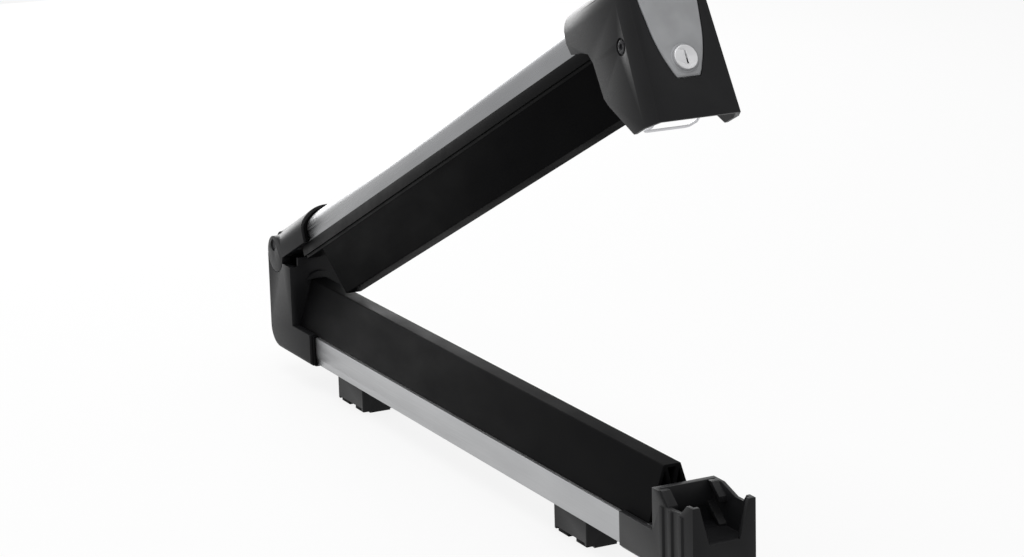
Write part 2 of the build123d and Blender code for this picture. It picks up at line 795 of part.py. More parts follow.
def foot_block(start):
    """A moulded foot: a flange at each end, a bolt hole, two screw pockets and tongues for the slot."""
    x_low = back_x + start
    x_high = x_low + foot_length
    half = foot_width / 2
    body = block(x_low, x_high, -half, half, 0, silver_bottom)
    body = fillet(edges_along(body, Axis.Z, lambda c: True), foot_edge)
    body -= block(x_low + foot_flange, x_high - foot_flange, -half, half, 0, sole_thickness)
    for sign in (-1, 1):
        ends = sorted((sign * (half - foot_relief_width), sign * half))
        body -= block(x_low, x_low + foot_flange, *ends, 0, foot_relief_height)
        body -= block(x_high - foot_flange, x_high, *ends, 0, foot_relief_height)
    middle = (x_low + x_high) / 2
    tongue, reach = slot_mouth / 2 - fit_gap, slot_nut_length / 2
    tongue_top = silver_bottom + slot_lip
    for low, high in ((-reach, -tongue_clear), (tongue_clear, reach)):
        body += block(middle + low, middle + high, -tongue, tongue, silver_bottom, tongue_top)
    body -= rod_z(middle, 0, bolt_radius, 0, silver_bottom)
    pocket_top = sole_thickness + foot_screw_head_height + cut_past
    for x in (middle - foot_screw_offset, middle + foot_screw_offset):
        body -= rod_z(x, 0, foot_screw_radius, 0, tongue_top)
        body -= rod_z(x, 0, foot_screw_head_radius + fit_gap, 0, pocket_top)
    return body


def foot_sole(start):
    """Two rubber pads under a foot, one each side of the bolt, with a hole for each screw's head."""
    x_low, x_high = back_x + start + foot_flange, back_x + start + foot_length - foot_flange
    middle = (x_low + x_high) / 2
    half = foot_width / 2 - foot_edge
    reach = bolt_radius + sole_bolt_clearance
    hole = foot_screw_head_radius + cut_past
    pads = []
    for low, high, screw_x in (
        (x_low, middle - reach, middle - foot_screw_offset),
        (middle + reach, x_high, middle + foot_screw_offset),
    ):
        pad = block(low, high, -half, half, 0, sole_thickness)
        pads.append(pad - rod_z(screw_x, 0, hole, 0, sole_thickness))
    return Compound(children=pads)


def slot_nut(start):
    middle = back_x + start + foot_length / 2
    low = silver_bottom + slot_lip + slot_nut_gap
    half = slot_width / 2 - fit_gap
    reach = slot_nut_length / 2
    body = block(middle - reach, middle + reach, -half, half, low, low + slot_nut_height)
    body -= rod_z(middle, 0, slot_nut_bore, low, low + slot_nut_height)
    for x in (middle - foot_screw_offset, middle + foot_screw_offset):
        body -= rod_z(x, 0, foot_screw_radius, low, low + slot_nut_height)
    return body


def foot_screws(start):
    middle = back_x + start + foot_length / 2
    seat = sole_thickness + foot_screw_head_height + cut_past
    top = silver_bottom + slot_lip + slot_nut_gap + slot_nut_height
    low = seat - foot_screw_head_height
    screws = []
    for x in (middle - foot_screw_offset, middle + foot_screw_offset):
        head = rod_z(x, 0, foot_screw_head_radius, low, seat)
        socket = rod_z(x, 0, foot_screw_socket, low, seat - cut_past)
        screws.append(head - socket + rod_z(x, 0, foot_screw_radius, seat, top))
    return Compound(children=screws)


def screw_pair(places):
    screws = [screw_up(x, y, silver_bottom) for x in places for y in (-screw_line(), screw_line())]
    return Compound(children=screws)


standing = {
    "lower_profile": lower_profile(),
    "lower_pad": pad_bar(silver_top, 1, back_x + housing_depth + fit_gap, back_x + lower_pad_end),
    "hinge_housing": hinge_housing(),
    "lower_seal": lower_seal(),
    "latch_receiver": latch_receiver(),
    "housing_screws": screw_pair(housing_screw_places()),
    "receiver_screws": screw_pair(receiver_screw_places()),
    "hinge_carriage": hinge_carriage(),
    "hinge_pin": hinge_pin(),
}
for place, start in (("hinge", hinge_foot_start), ("latch", latch_foot_start)):
    standing[place + "_foot"] = foot_block(start)
    standing[place + "_foot_sole"] = foot_sole(start)
    standing[place + "_slot_nut"] = slot_nut(start)
    standing[place + "_foot_screws"] = foot_screws(start)

on_arm = {
    "upper_profile": upper_profile(),
    "hinge_cap": hinge_cap(),
    "hinge_bushes": hinge_bushes(),
    "upper_seal": upper_seal(),
    "pad_carrier": pad_carrier(),
    "upper_pad": pad_bar(carrier_bottom, -1, upper_pad_start, upper_pad_end),
    "lock_head": lock_head(),
    "rocker_pin": rocker_pin(),
    "release_spring": release_spring(),
    "release_button": release_button(),
    "button_pin": button_pin(),
    "bail_lever": bail_lever(),
    "wire_bail": wire_bail(),
    "lock_sleeve": lock_sleeve(),
    "lock_core": lock_core(),
    "lock_cam": lock_cam(),
}

os.makedirs("parts", exist_ok=True)
pieces = dict(standing)
pieces.update({name: open_arm * shape for name, shape in on_arm.items()})
for name, shape in pieces.items():
    export_step(shape, "parts/" + name + ".step")
print(len(pieces), "pieces")
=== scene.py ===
# %% [markdown]
# # Roof ski carrier
#
# The real carrier is two aluminium extrusions with rubber pads, joined by a moulded hinge at one
# end and closed by a moulded lock head at the other. The working model comes from CAD, so this
# lesson gives it its looks: softened edges, moulded and drawn surfaces, springs and fittings.

# %% Load the working model
import bpy
import json
from math import copysign, cos, degrees, radians, sin, tan
from mathutils import Matrix, Vector


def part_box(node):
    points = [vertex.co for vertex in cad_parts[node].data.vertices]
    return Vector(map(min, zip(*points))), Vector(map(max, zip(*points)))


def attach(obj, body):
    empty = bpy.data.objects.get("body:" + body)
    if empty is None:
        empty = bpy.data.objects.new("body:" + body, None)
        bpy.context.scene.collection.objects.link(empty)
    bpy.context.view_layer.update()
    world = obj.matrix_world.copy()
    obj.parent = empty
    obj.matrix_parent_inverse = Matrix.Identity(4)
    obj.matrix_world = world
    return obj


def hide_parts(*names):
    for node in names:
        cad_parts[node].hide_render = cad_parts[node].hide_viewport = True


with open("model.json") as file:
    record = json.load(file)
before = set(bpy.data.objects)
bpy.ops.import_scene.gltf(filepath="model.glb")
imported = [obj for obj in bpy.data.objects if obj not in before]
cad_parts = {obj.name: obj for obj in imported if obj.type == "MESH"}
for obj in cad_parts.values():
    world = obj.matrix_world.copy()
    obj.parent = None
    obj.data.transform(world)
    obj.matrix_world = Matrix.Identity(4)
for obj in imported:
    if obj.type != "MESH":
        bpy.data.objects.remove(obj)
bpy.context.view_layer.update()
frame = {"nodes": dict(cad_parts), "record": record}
record = frame["record"]
MM = 0.001
print("nodes in the working model:", len(frame["nodes"]))

# %% [markdown]
# Every piece rides on one moving body of the carrier, so that the arm, the button and the feet
# can be posed later. The record says which body carries each node and which finish it has.
# Looking both up there is safer than writing them a second time.

# %% Who carries what, and how it is finished
body_of_node = {}
for body_name, node_names in record["behaviour"]["bodies"].items():
    for node_name in node_names:
        body_of_node[node_name] = body_name
slot_of_node = {entry["node"]: entry["material_slot"] for entry in record["subparts"]}
joint_named = {entry["name"]: entry for entry in record["behaviour"]["joints"]}
print("bodies:", sorted(set(body_of_node.values())))

# %% [markdown]
# The photograph shows the arm held open. The joint of the lock turns about the arm's own
# direction, so that axis gives the arm's slope, and the fold joint gives the place of the
# hinge pin. With both, a point can be written along and across the arm, as a maker would.

# %% Places on the arm
lock_axis = Vector(joint_named["lock_turn"]["axis"])
hinge_pin_place = Vector(joint_named["arm_fold"]["pos_m"])
ARM_SLOPE = lock_axis.xz.angle_signed(Vector((1.0, 0.0)))
rocker_place = Vector(joint_named["latch_swing"]["pos_m"])
along_arm = Vector((cos(ARM_SLOPE), 0.0, sin(ARM_SLOPE)))
off_arm = Vector((-sin(ARM_SLOPE), 0.0, cos(ARM_SLOPE)))


def arm_place(point):
    """How far a point lies along the arm from the hinge pin, and how far off it, upwards."""
    reach = Vector(point) - hinge_pin_place
    return reach.dot(along_arm), reach.dot(off_arm)


print("arm slope in degrees:", round(degrees(ARM_SLOPE), 2))

# %% [markdown]
# ## Finishes
#
# Each finish is one material on Object coordinates, so that its pattern keeps its real size on
# every piece. A picture of the surface could be laid on instead, but it would need unwrapped
# pieces and would repeat. A small helper starts a material with the values that are even all
# over, and others add a noise, let it move the roughness or the colour, and turn it into bump.

# %% Start a material
def start_material(name, colour, roughness, metallic=0.0, specular=0.5):
    material = bpy.data.materials.new(name)
    material.use_nodes = True
    shader = material.node_tree.nodes["Principled BSDF"]
    shader.inputs["Base Color"].default_value = (*colour, 1.0)
    shader.inputs["Roughness"].default_value = roughness
    shader.inputs["Metallic"].default_value = metallic
    shader.inputs["Specular IOR Level"].default_value = specular
    return material, material.node_tree, shader


# %% Noise on Object coordinates
def object_noise(tree, scale, stretch=(1.0, 1.0, 1.0), slope=0.0, detail=3.0):
    """Noise that can be drawn out into lines: stretch squeezes it, slope turns it to the arm."""
    coordinates = tree.nodes.new("ShaderNodeTexCoord")
    turn = tree.nodes.new("ShaderNodeMapping")
    turn.inputs["Rotation"].default_value = (0.0, slope, 0.0)
    squeeze = tree.nodes.new("ShaderNodeMapping")
    squeeze.inputs["Scale"].default_value = stretch
    noise = tree.nodes.new("ShaderNodeTexNoise")
    noise.inputs["Scale"].default_value = scale
    noise.inputs["Detail"].default_value = detail
    tree.links.new(coordinates.outputs["Object"], turn.inputs["Vector"])
    tree.links.new(turn.outputs["Vector"], squeeze.inputs["Vector"])
    tree.links.new(squeeze.outputs["Vector"], noise.inputs["Vector"])
    return noise


# %% What a noise can drive
NOISE_LOW = 0.3
NOISE_HIGH = 0.7


def vary_roughness(tree, shader, noise, low, high):
    spread = tree.nodes.new("ShaderNodeMapRange")
    spread.inputs["From Min"].default_value = NOISE_LOW
    spread.inputs["From Max"].default_value = NOISE_HIGH
    spread.inputs["To Min"].default_value = low
    spread.inputs["To Max"].default_value = high
    tree.links.new(noise.outputs["Fac"], spread.inputs["Value"])
    tree.links.new(spread.outputs["Result"], shader.inputs["Roughness"])


def vary_colour(tree, shader, noise, dark, light):
    ramp = tree.nodes.new("ShaderNodeValToRGB")
    ramp.color_ramp.elements[0].position = NOISE_LOW
    ramp.color_ramp.elements[0].color = (*dark, 1.0)
    ramp.color_ramp.elements[1].position = NOISE_HIGH
    ramp.color_ramp.elements[1].color = (*light, 1.0)
    tree.links.new(noise.outputs["Fac"], ramp.inputs["Fac"])
    tree.links.new(ramp.outputs["Color"], shader.inputs["Base Color"])


def add_bump(tree, shader, noises, strength, height):
    """One bump node for each noise, chained, so that coarse and fine relief add up."""
    last = None
    for noise in noises:
        bump = tree.nodes.new("ShaderNodeBump")
        bump.inputs["Strength"].default_value = strength
        bump.inputs["Distance"].default_value = height
        tree.links.new(noise.outputs["Fac"], bump.inputs["Height"])
        if last is not None:
            tree.links.new(last.outputs["Normal"], bump.inputs["Normal"])
        last = bump
    tree.links.new(last.outputs["Normal"], shader.inputs["Normal"])


# %% [markdown]
# The extrusions are anodised aluminium. The die leaves faint lines along the bar, and the
# anodising makes them satin, so a noise that is drawn out along the bar moves the roughness and
# a very small bump. The arm's bar lies at a slope, so its pattern is turned by the same angle.
# Its silver is darker than the bar's: painted shade that keeps the arm's sides dark,
# while its crown mirrors the white panel behind it.

# %% Drawn aluminium
BAR_SILVER = (0.42, 0.424, 0.432)
# The arm's silver is the bar's aluminium in a darker copy: painted shade for the arm's sides.
ARM_SILVER_PAINTED_SHADE = (0.255, 0.258, 0.265)
DRAWN_OUT = (0.012, 1.0, 1.0)
CLOUDED = (0.3, 1.0, 1.0)


def drawn_aluminium(name, colour, slope, smoothest):
    material, tree, shader = start_material(name, colour, smoothest, metallic=1.0)
    lines = object_noise(tree, scale=1400.0, stretch=DRAWN_OUT, slope=slope)
    cloud = object_noise(tree, scale=35.0, stretch=CLOUDED, slope=slope, detail=2.0)
    darker = tuple(0.95 * part for part in colour)
    lighter = tuple(1.05 * part for part in colour)
    vary_roughness(tree, shader, lines, low=smoothest, high=smoothest + 0.12)
    vary_colour(tree, shader, cloud, darker, lighter)
    add_bump(tree, shader, [lines], strength=0.12, height=0.02 * MM)
    return material


print("silver of the bar and of the arm:", BAR_SILVER, ARM_SILVER_PAINTED_SHADE)

# %% [markdown]
# The pads are extruded black rubber. It is never a pure black: light catches the skin, the
# surface has a fine grain, and the die leaves long soft lines that fade in and out. The strip
# that holds the upper pad is a hard plastic of nearly the same colour, but smoother.

# %% Rubber and dark plastic
RUBBER = (0.0030, 0.0030, 0.0033)
# The arm's rubber is the bar's rubber in a darker copy, and its finish has less specular: painted shade
# on the upper pad.
ARM_RUBBER_PAINTED_SHADE = (0.0014, 0.0014, 0.0016)
STRIP_BLACK = (0.0028, 0.0028, 0.0031)


def pad_rubber(name, colour, slope, specular):
    material, tree, shader = start_material(name, colour, roughness=0.60, specular=specular)
    lines = object_noise(tree, scale=420.0, stretch=(0.02, 1.0, 1.0), slope=slope, detail=2.0)
    grain = object_noise(tree, scale=2600.0, detail=2.0)
    bloom = object_noise(tree, scale=28.0, stretch=(0.4, 1.0, 1.0), slope=slope)
    darker = tuple(0.8 * part for part in colour)
    lighter = tuple(1.4 * part for part in colour)
    vary_roughness(tree, shader, bloom, low=0.50, high=0.68)
    vary_colour(tree, shader, bloom, darker, lighter)
    add_bump(tree, shader, [lines, grain], strength=0.35, height=0.06 * MM)
    return material


def smooth_plastic(name, colour, slope):
    material, tree, shader = start_material(name, colour, roughness=0.42, specular=0.04)
    lines = object_noise(tree, scale=300.0, stretch=(0.03, 1.0, 1.0), slope=slope, detail=2.0)
    tint = object_noise(tree, scale=60.0)
    darker = tuple(0.85 * part for part in colour)
    lighter = tuple(1.2 * part for part in colour)
    vary_roughness(tree, shader, tint, low=0.38, high=0.50)
    vary_colour(tree, shader, tint, darker, lighter)
    add_bump(tree, shader, [lines], strength=0.2, height=0.05 * MM)
    return material


print("rubber of the bar and of the arm:", RUBBER, ARM_RUBBER_PAINTED_SHADE)

# %% [markdown]
# The hinge, the lock head and the receiver are moulded in charcoal plastic with a spark-eroded
# mould texture: rounded pits well under a millimetre wide. Two noises of different size give
# that look, one for the pits and one for the slow waviness of a thick moulding.

# %% Moulded plastic
CHARCOAL = (0.0088, 0.0089, 0.0097)
BUTTON_GREY = (0.335, 0.34, 0.35)


def moulded_plastic(name, colour, roughness, specular):
    material, tree, shader = start_material(name, colour, roughness, specular=specular)
    pits = object_noise(tree, scale=1500.0, detail=1.0)
    waves = object_noise(tree, scale=45.0, detail=2.0)
    darker = tuple(0.9 * part for part in colour)
    lighter = tuple(1.12 * part for part in colour)
    vary_roughness(tree, shader, pits, low=roughness - 0.06, high=roughness + 0.08)
    vary_colour(tree, shader, waves, darker, lighter)
    add_bump(tree, shader, [waves, pits], strength=0.35, height=0.07 * MM)
    return material


print("colours of the mouldings:", CHARCOAL, BUTTON_GREY)

# %% [markdown]
# Screws, slot nuts, the spring and the bail are zinc plated steel. The hinge pin, its bushes and
# the rocker pin are blackened, and the lock is a satin nickel. All have a soft cloud in the
# roughness, which is drawn out into brushed lines on the lock.

# %% Plated steel and the lock's metal
ZINC = (0.60, 0.60, 0.62)
NICKEL = (0.62, 0.62, 0.63)
BLACKENED = (0.022, 0.022, 0.024)
BRUSHED = (1.0, 0.05, 1.0)


def plated_metal(name, colour, low, high, stretch=(1.0, 1.0, 1.0), metallic=1.0):
    material, tree, shader = start_material(name, colour, low, metallic=metallic)
    cloud = object_noise(tree, scale=500.0, stretch=stretch)
    vary_roughness(tree, shader, cloud, low, high)
    add_bump(tree, shader, [cloud], strength=0.15, height=0.02 * MM)
    return material


print("colours of the metals:", ZINC, NICKEL, BLACKENED)

# %% [markdown]
# Every slot of the record gets its finish here. Three slots have a second version for the arm,
# because what is drawn out along the arm follows its slope. The arm's silver and rubber are also
# darker than the bar's, which is painted shade. A few nodes look unlike the rest of their slot, so
# they are named one by one.

# %% The finishes of this carrier
LEVEL = 0.0
finishes = {
    "silver_aluminium": drawn_aluminium("drawn_aluminium_bar", BAR_SILVER, LEVEL, smoothest=0.30),
    "silver_aluminium_arm": drawn_aluminium("drawn_aluminium_arm_painted_shade", ARM_SILVER_PAINTED_SHADE, ARM_SLOPE, smoothest=0.24),
    "black_rubber": pad_rubber("pad_rubber_bar", RUBBER, LEVEL, specular=0.05),
    "black_rubber_arm": pad_rubber("pad_rubber_arm_painted_shade", ARM_RUBBER_PAINTED_SHADE, ARM_SLOPE, specular=0.018),
    "charcoal_plastic": moulded_plastic("charcoal_moulding", CHARCOAL, roughness=0.38, specular=0.15),
    "dark_plastic": smooth_plastic("dark_plastic_bar", STRIP_BLACK, LEVEL),
    "dark_plastic_arm": smooth_plastic("dark_plastic_arm", STRIP_BLACK, ARM_SLOPE),
    "grey_plastic": moulded_plastic("grey_button_moulding", BUTTON_GREY, roughness=0.42, specular=0.45),
    "zinc_steel": plated_metal("zinc_plated_steel", ZINC, low=0.28, high=0.42),
    "lock_metal": plated_metal("satin_lock_metal", NICKEL, 0.46, 0.58, stretch=BRUSHED, metallic=0.6),
    "blackened_steel": plated_metal("blackened_steel", BLACKENED, low=0.42, high=0.56),
}
finish_of_node = {
    "rocker_pin": "blackened_steel",
    "hinge_pin": "blackened_steel",
    "hinge_bushes": "blackened_steel",
    "hinge_foot": "charcoal_plastic",
    "latch_foot": "charcoal_plastic",
    "lock_sleeve": "grey_plastic",
}


def finish_for(node_name):
    if node_name in finish_of_node:
        return finishes[finish_of_node[node_name]]
    slot_name = slot_of_node[node_name]
    on_arm = body_of_node[node_name] == "arm"
    if on_arm and slot_name + "_arm" in finishes:
        return finishes[slot_name + "_arm"]
    return finishes[slot_name]


print("finishes:", len(finishes))

# %% [markdown]
# ## Pieces with softened edges
#
# A moulding or an extrusion never has a knife edge. The CAD pieces do, so each gets a finished
# copy: the loose triangles are merged, flat areas become single faces, and a bevel rounds every
# sharp edge by the radius that such a piece has. The copy then stands for the CAD node.

# %% Pick a piece, apply its modifiers and shade it
def pick_only(piece):
    if bpy.context.mode != "OBJECT":
        bpy.ops.object.mode_set(mode="OBJECT")
    bpy.ops.object.select_all(action="DESELECT")
    piece.select_set(True)
    bpy.context.view_layer.objects.active = piece


def apply_modifiers(piece):
    pick_only(piece)
    for modifier in list(piece.modifiers):
        bpy.ops.object.modifier_apply(modifier=modifier.name)


def smooth_by_angle(piece, crease=32.0):
    pick_only(piece)
    bpy.ops.object.shade_smooth_by_angle(angle=radians(crease))


# %% Finish of a piece and the body it rides on
def carry(piece, node_name):
    """The piece rides with the node's body, takes its finish, and stands for the node."""
    piece.data.materials.clear()
    piece.data.materials.append(finish_for(node_name))
    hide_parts(node_name)
    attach(piece, body_of_node[node_name])
    return piece


# %% Finished copy of a node, with rounded edges
WELD = 0.005 * MM
FLAT = radians(0.5)
SHARP = radians(33.0)
ROUNDING_STEPS = 2


def soft_edged(node_name, radius, reshape=None):
    """A merged copy of a node, reshaped where the piece asks for it, with rounded edges."""
    source = frame["nodes"][node_name]
    piece = bpy.data.objects.new(node_name + "_finished", source.data.copy())
    bpy.context.scene.collection.objects.link(piece)
    pick_only(piece)
    bpy.ops.object.mode_set(mode="EDIT")
    bpy.ops.mesh.select_all(action="SELECT")
    bpy.ops.mesh.remove_doubles(threshold=WELD)
    bpy.ops.mesh.dissolve_limited(angle_limit=FLAT)
    bpy.ops.object.mode_set(mode="OBJECT")
    if reshape is not None:
        reshape(piece)
    rounding = piece.modifiers.new("rounded_edges", "BEVEL")
    rounding.width = radius * MM
    rounding.segments = ROUNDING_STEPS
    rounding.limit_method = "ANGLE"
    rounding.angle_limit = SHARP
    apply_modifiers(piece)
    smooth_by_angle(piece)
    return piece


# %% [markdown]
# The working model has a square lock head. The real moulding has draft: its front leans back and
# its sides close in towards the top. The copy is leaned and narrowed here, with the button, the
# lock and the pins that sit in it, and what lies against the silver profile stays where it is.

# %% Draft of the lock head
HEAD_LEAN = radians(4.2)
HEAD_NARROWING = 5.5 * MM
STRAIGHT_HALF = 27.0 * MM
LEAN_FROM = 818.6 * MM
head_places = [arm_place(vertex.co) for vertex in frame["nodes"]["lock_head"].data.vertices]
head_low = min(level for station, level in head_places)
head_tall = max(level for station, level in head_places) - head_low
head_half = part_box("lock_head")[1][1]


def draft(piece, lean_from):
    """Leans what lies beyond a station along the arm, and narrows the whole piece upwards."""
    for vertex in piece.data.vertices:
        station, level = arm_place(vertex.co)
        rise = level - head_low
        if station > lean_from:
            vertex.co -= along_arm * (rise * tan(HEAD_LEAN))
        side = abs(vertex.co.y)
        if side > STRAIGHT_HALF:
            share = (side - STRAIGHT_HALF) / (head_half - STRAIGHT_HALF)
            narrower = side - share * HEAD_NARROWING * rise / head_tall
            vertex.co.y = copysign(narrower, vertex.co.y)


print("head in mm, half its width and its height:", round(head_half / MM, 1), round(head_tall / MM, 1))

# %% [markdown]
# The button narrows downwards, and its outline bends at one level, where the real one has a long
# soft curve. The edges that run front to back at that bend are picked by their place, on the
# button and on the opening of the head, and a wide bevel turns the corner into a curve.

# %% Soft bend of the button's outline
BEND_HALF = 20.7 * MM
BEND_LEVEL = -50.4 * MM
BEND_REACH = 2.2 * MM
BEND_ROUND = 13.0 * MM
BEND_STEPS = 6


def soften_bend(piece):
    """A wide bevel on the edges that run front to back at the bend of the outline."""
    pick_only(piece)
    mesh = piece.data
    at_bend = set()
    for vertex in mesh.vertices:
        station, level = arm_place(vertex.co)
        off_bend = Vector((abs(vertex.co.y) - BEND_HALF, level - BEND_LEVEL)).length
        if off_bend < BEND_REACH and station > LEAN_FROM:
            at_bend.add(vertex.index)
    bpy.ops.object.mode_set(mode="EDIT")
    bpy.ops.mesh.select_mode(type="EDGE")
    bpy.ops.mesh.select_all(action="DESELECT")
    bpy.ops.object.mode_set(mode="OBJECT")
    for edge in mesh.edges:
        edge.select = all(index in at_bend for index in edge.vertices)
    bpy.ops.object.mode_set(mode="EDIT")
    bpy.ops.mesh.bevel(offset=BEND_ROUND, segments=BEND_STEPS, affect="EDGES", clamp_overlap=True)
    bpy.ops.object.mode_set(mode="OBJECT")


print("radius of the soft bend in mm:", round(BEND_ROUND / MM, 1))

# %% [markdown]
# Each piece of the head takes its own share of the draft. The head leans only in front of the
# silver profile, what sits in its front leans all over, and the long rocker pin follows the sides
# but doesn't lean, because it lies behind the place where the lean begins.

# %% Draft of each piece
FROM_THE_START = 0.0
PAST_THE_END = 2 * LEAN_FROM


def draft_head(piece):
    soften_bend(piece)
    draft(piece, LEAN_FROM)


def draft_button(piece):
    soften_bend(piece)
    draft(piece, FROM_THE_START)


def draft_all(piece):
    draft(piece, FROM_THE_START)


def draft_sides(piece):
    draft(piece, PAST_THE_END)


print("the lean starts at this station in mm:", round(LEAN_FROM / MM, 1))

# %% [markdown]
# The photograph shows only the bar of the bail under the head, so the lowest part of the wire is
# drawn in and up. The shift grows from nothing to its full size down the wire's last stretch, so
# that the wire stays in one piece with its upper part.

# %% Bend of the wire bail
BEND_FROM = -96.0 * MM
BAR_LEVEL = -107.0 * MM
BAR_SHIFT = along_arm * (-6.5 * MM) + off_arm * (5.0 * MM)


def raise_bail(piece):
    for vertex in piece.data.vertices:
        station, level = arm_place(vertex.co)
        share = (BEND_FROM - level) / (BEND_FROM - BAR_LEVEL)
        vertex.co += BAR_SHIFT * min(max(share, 0.0), 1.0)


print("shift of the bail's bar in mm:", round(BAR_SHIFT.length / MM, 1))

# %% [markdown]
# The receiver of the working model has a block behind the pad's end. On the carrier the hollow
# pad ends open there, so the block is cut away, and the walls beside the ratchets come down to
# the height that the photograph shows.

# %% Cuts in the receiver
receiver_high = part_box("latch_receiver")[1]
pad_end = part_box("lower_pad")[1][0]
SLEEVE_TOP = 59.0 * MM
BULKHEAD_BACK = 362.0 * MM
HORN_TOP = 94.5 * MM


def cut_box(piece, low, high):
    """Takes a box out of a piece, with a cube as the cutter."""
    bpy.ops.object.select_all(action="DESELECT")
    middle = [(a + b) / 2 for a, b in zip(low, high)]
    bpy.ops.mesh.primitive_cube_add(size=1.0, location=middle)
    cutter = bpy.context.active_object
    cutter.scale = [b - a for a, b in zip(low, high)]
    bpy.ops.object.transform_apply(location=True, rotation=True, scale=True)
    cut = piece.modifiers.new("cut", "BOOLEAN")
    cut.operation = "DIFFERENCE"
    cut.solver = "EXACT"
    cut.object = cutter
    apply_modifiers(piece)
    bpy.data.objects.remove(cutter, do_unlink=True)


def open_receiver(piece):
    """Clears the pad's open end first, and then what stands above the horns' height."""
    wide = receiver_high[1] + MM
    above = receiver_high[2] + MM
    beyond = receiver_high[0] + MM
    cut_box(piece, (pad_end, -wide, SLEEVE_TOP), (BULKHEAD_BACK, wide, above))
    cut_box(piece, (BULKHEAD_BACK - MM, -wide, HORN_TOP), (beyond, wide, above))


print("the pad ends at this x in mm:", round(pad_end / MM, 1))

# %% [markdown]
# The radius follows the process: about a millimetre on thick mouldings, less on extruded metal,
# and a tenth or two on turned and pressed fittings. Pieces whose real shape differs from the
# working model are reshaped before their edges are rounded, so that the new corners are soft too.

# %% Edge radius of each piece, in millimetres
edge_radius = {
    "lower_profile": 0.7,
    "upper_profile": 0.35,
    "lower_pad": 0.6,
    "upper_pad": 0.6,
    "pad_carrier": 0.4,
    "hinge_housing": 0.9,
    "hinge_cap": 0.7,
    "hinge_carriage": 0.6,
    "hinge_bushes": 0.2,
    "hinge_pin": 0.15,
    "lower_seal": 0.5,
    "upper_seal": 0.5,
    "latch_receiver": 0.7,
    "housing_screws": 0.15,
    "receiver_screws": 0.15,
    "lock_head": 0.9,
    "rocker_pin": 0.25,
    "button_pin": 0.15,
    "release_button": 0.5,
    "bail_lever": 0.5,
    "wire_bail": 0.1,
    "lock_sleeve": 0.3,
    "lock_cam": 0.2,
    "hinge_foot": 0.8,
    "latch_foot": 0.8,
    "hinge_foot_sole": 0.5,
    "latch_foot_sole": 0.5,
    "hinge_slot_nut": 0.3,
    "latch_slot_nut": 0.3,
    "hinge_foot_screws": 0.15,
    "latch_foot_screws": 0.15,
}
reshaping = {
    "lock_head": draft_head,
    "rocker_pin": draft_sides,
    "button_pin": draft_all,
    "release_button": draft_button,
    "wire_bail": raise_bail,
    "lock_sleeve": draft_all,
    "lock_cam": draft_all,
    "latch_receiver": open_receiver,
}
finished = {}
for node_name, radius in edge_radius.items():
    piece = soft_edged(node_name, radius, reshape=reshaping.get(node_name))
    finished[node_name] = carry(piece, node_name)
print("pieces with softened edges:", len(finished))

# %% [markdown]
# ## Release spring
#
# Behind the button a torsion spring is wound round the rocker pin. The working model has it as a
# closed tube. A curve could carry the wire, but here the coil is made as by hand: a small ring of
# wire is spun round the pin, and pushed along it as it goes, so that each turn lies beside the
# last. Its two open ends are then filled.

# %% Coil of the release spring
WIRE = 1.1 * MM
WIRE_SIDES = 8
COIL_RADIUS = 4.55 * MM
TURNS = 14
STEPS_A_TURN = 20
COIL_WELD = 0.01 * MM
spring_low, spring_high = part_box("release_spring")
coil_length = spring_high[1] - spring_low[1] - 2 * WIRE


def centre_on(piece, place):
    """The screw turns about the object's own origin, so the ring is drawn round that first."""
    pick_only(piece)
    piece.location = place
    bpy.ops.object.transform_apply(location=True, rotation=True, scale=True)


bpy.ops.object.select_all(action="DESELECT")
ring_place = (COIL_RADIUS, 0.0, 0.0)
bpy.ops.mesh.primitive_circle_add(vertices=WIRE_SIDES, radius=WIRE / 2, location=ring_place)
spring_coil = bpy.context.active_object
spring_coil.name = "release_spring_coil"
bpy.ops.object.transform_apply(location=True, rotation=True, scale=True)
winding = spring_coil.modifiers.new("winding", "SCREW")
winding.axis = "Y"
winding.screw_offset = coil_length / TURNS
winding.iterations = TURNS
winding.steps = STEPS_A_TURN
winding.render_steps = STEPS_A_TURN
apply_modifiers(spring_coil)
centre_on(spring_coil, rocker_place - Vector((0.0, coil_length / 2, 0.0)))
print("turns of the coil:", TURNS)

# %% Weld the coil and fill its ends
pick_only(spring_coil)
bpy.ops.object.mode_set(mode="EDIT")
bpy.ops.mesh.select_all(action="SELECT")
bpy.ops.mesh.remove_doubles(threshold=COIL_WELD)
bpy.ops.mesh.select_all(action="DESELECT")
bpy.ops.mesh.select_non_manifold()
bpy.ops.mesh.edge_face_add()
bpy.ops.mesh.select_all(action="SELECT")
bpy.ops.mesh.normals_make_consistent(inside=False)
bpy.ops.object.mode_set(mode="OBJECT")
smooth_by_angle(spring_coil, crease=50.0)
carry(spring_coil, "release_spring")
print("coil faces:", len(spring_coil.data.polygons))

# %% [markdown]
# ## Lock face
#
# The lock's core is a turned plug with a domed rim, a shallow dished face and a keyway. The dish
# is what makes it read as a lock and not as a coin, so the face is inset and pushed in.

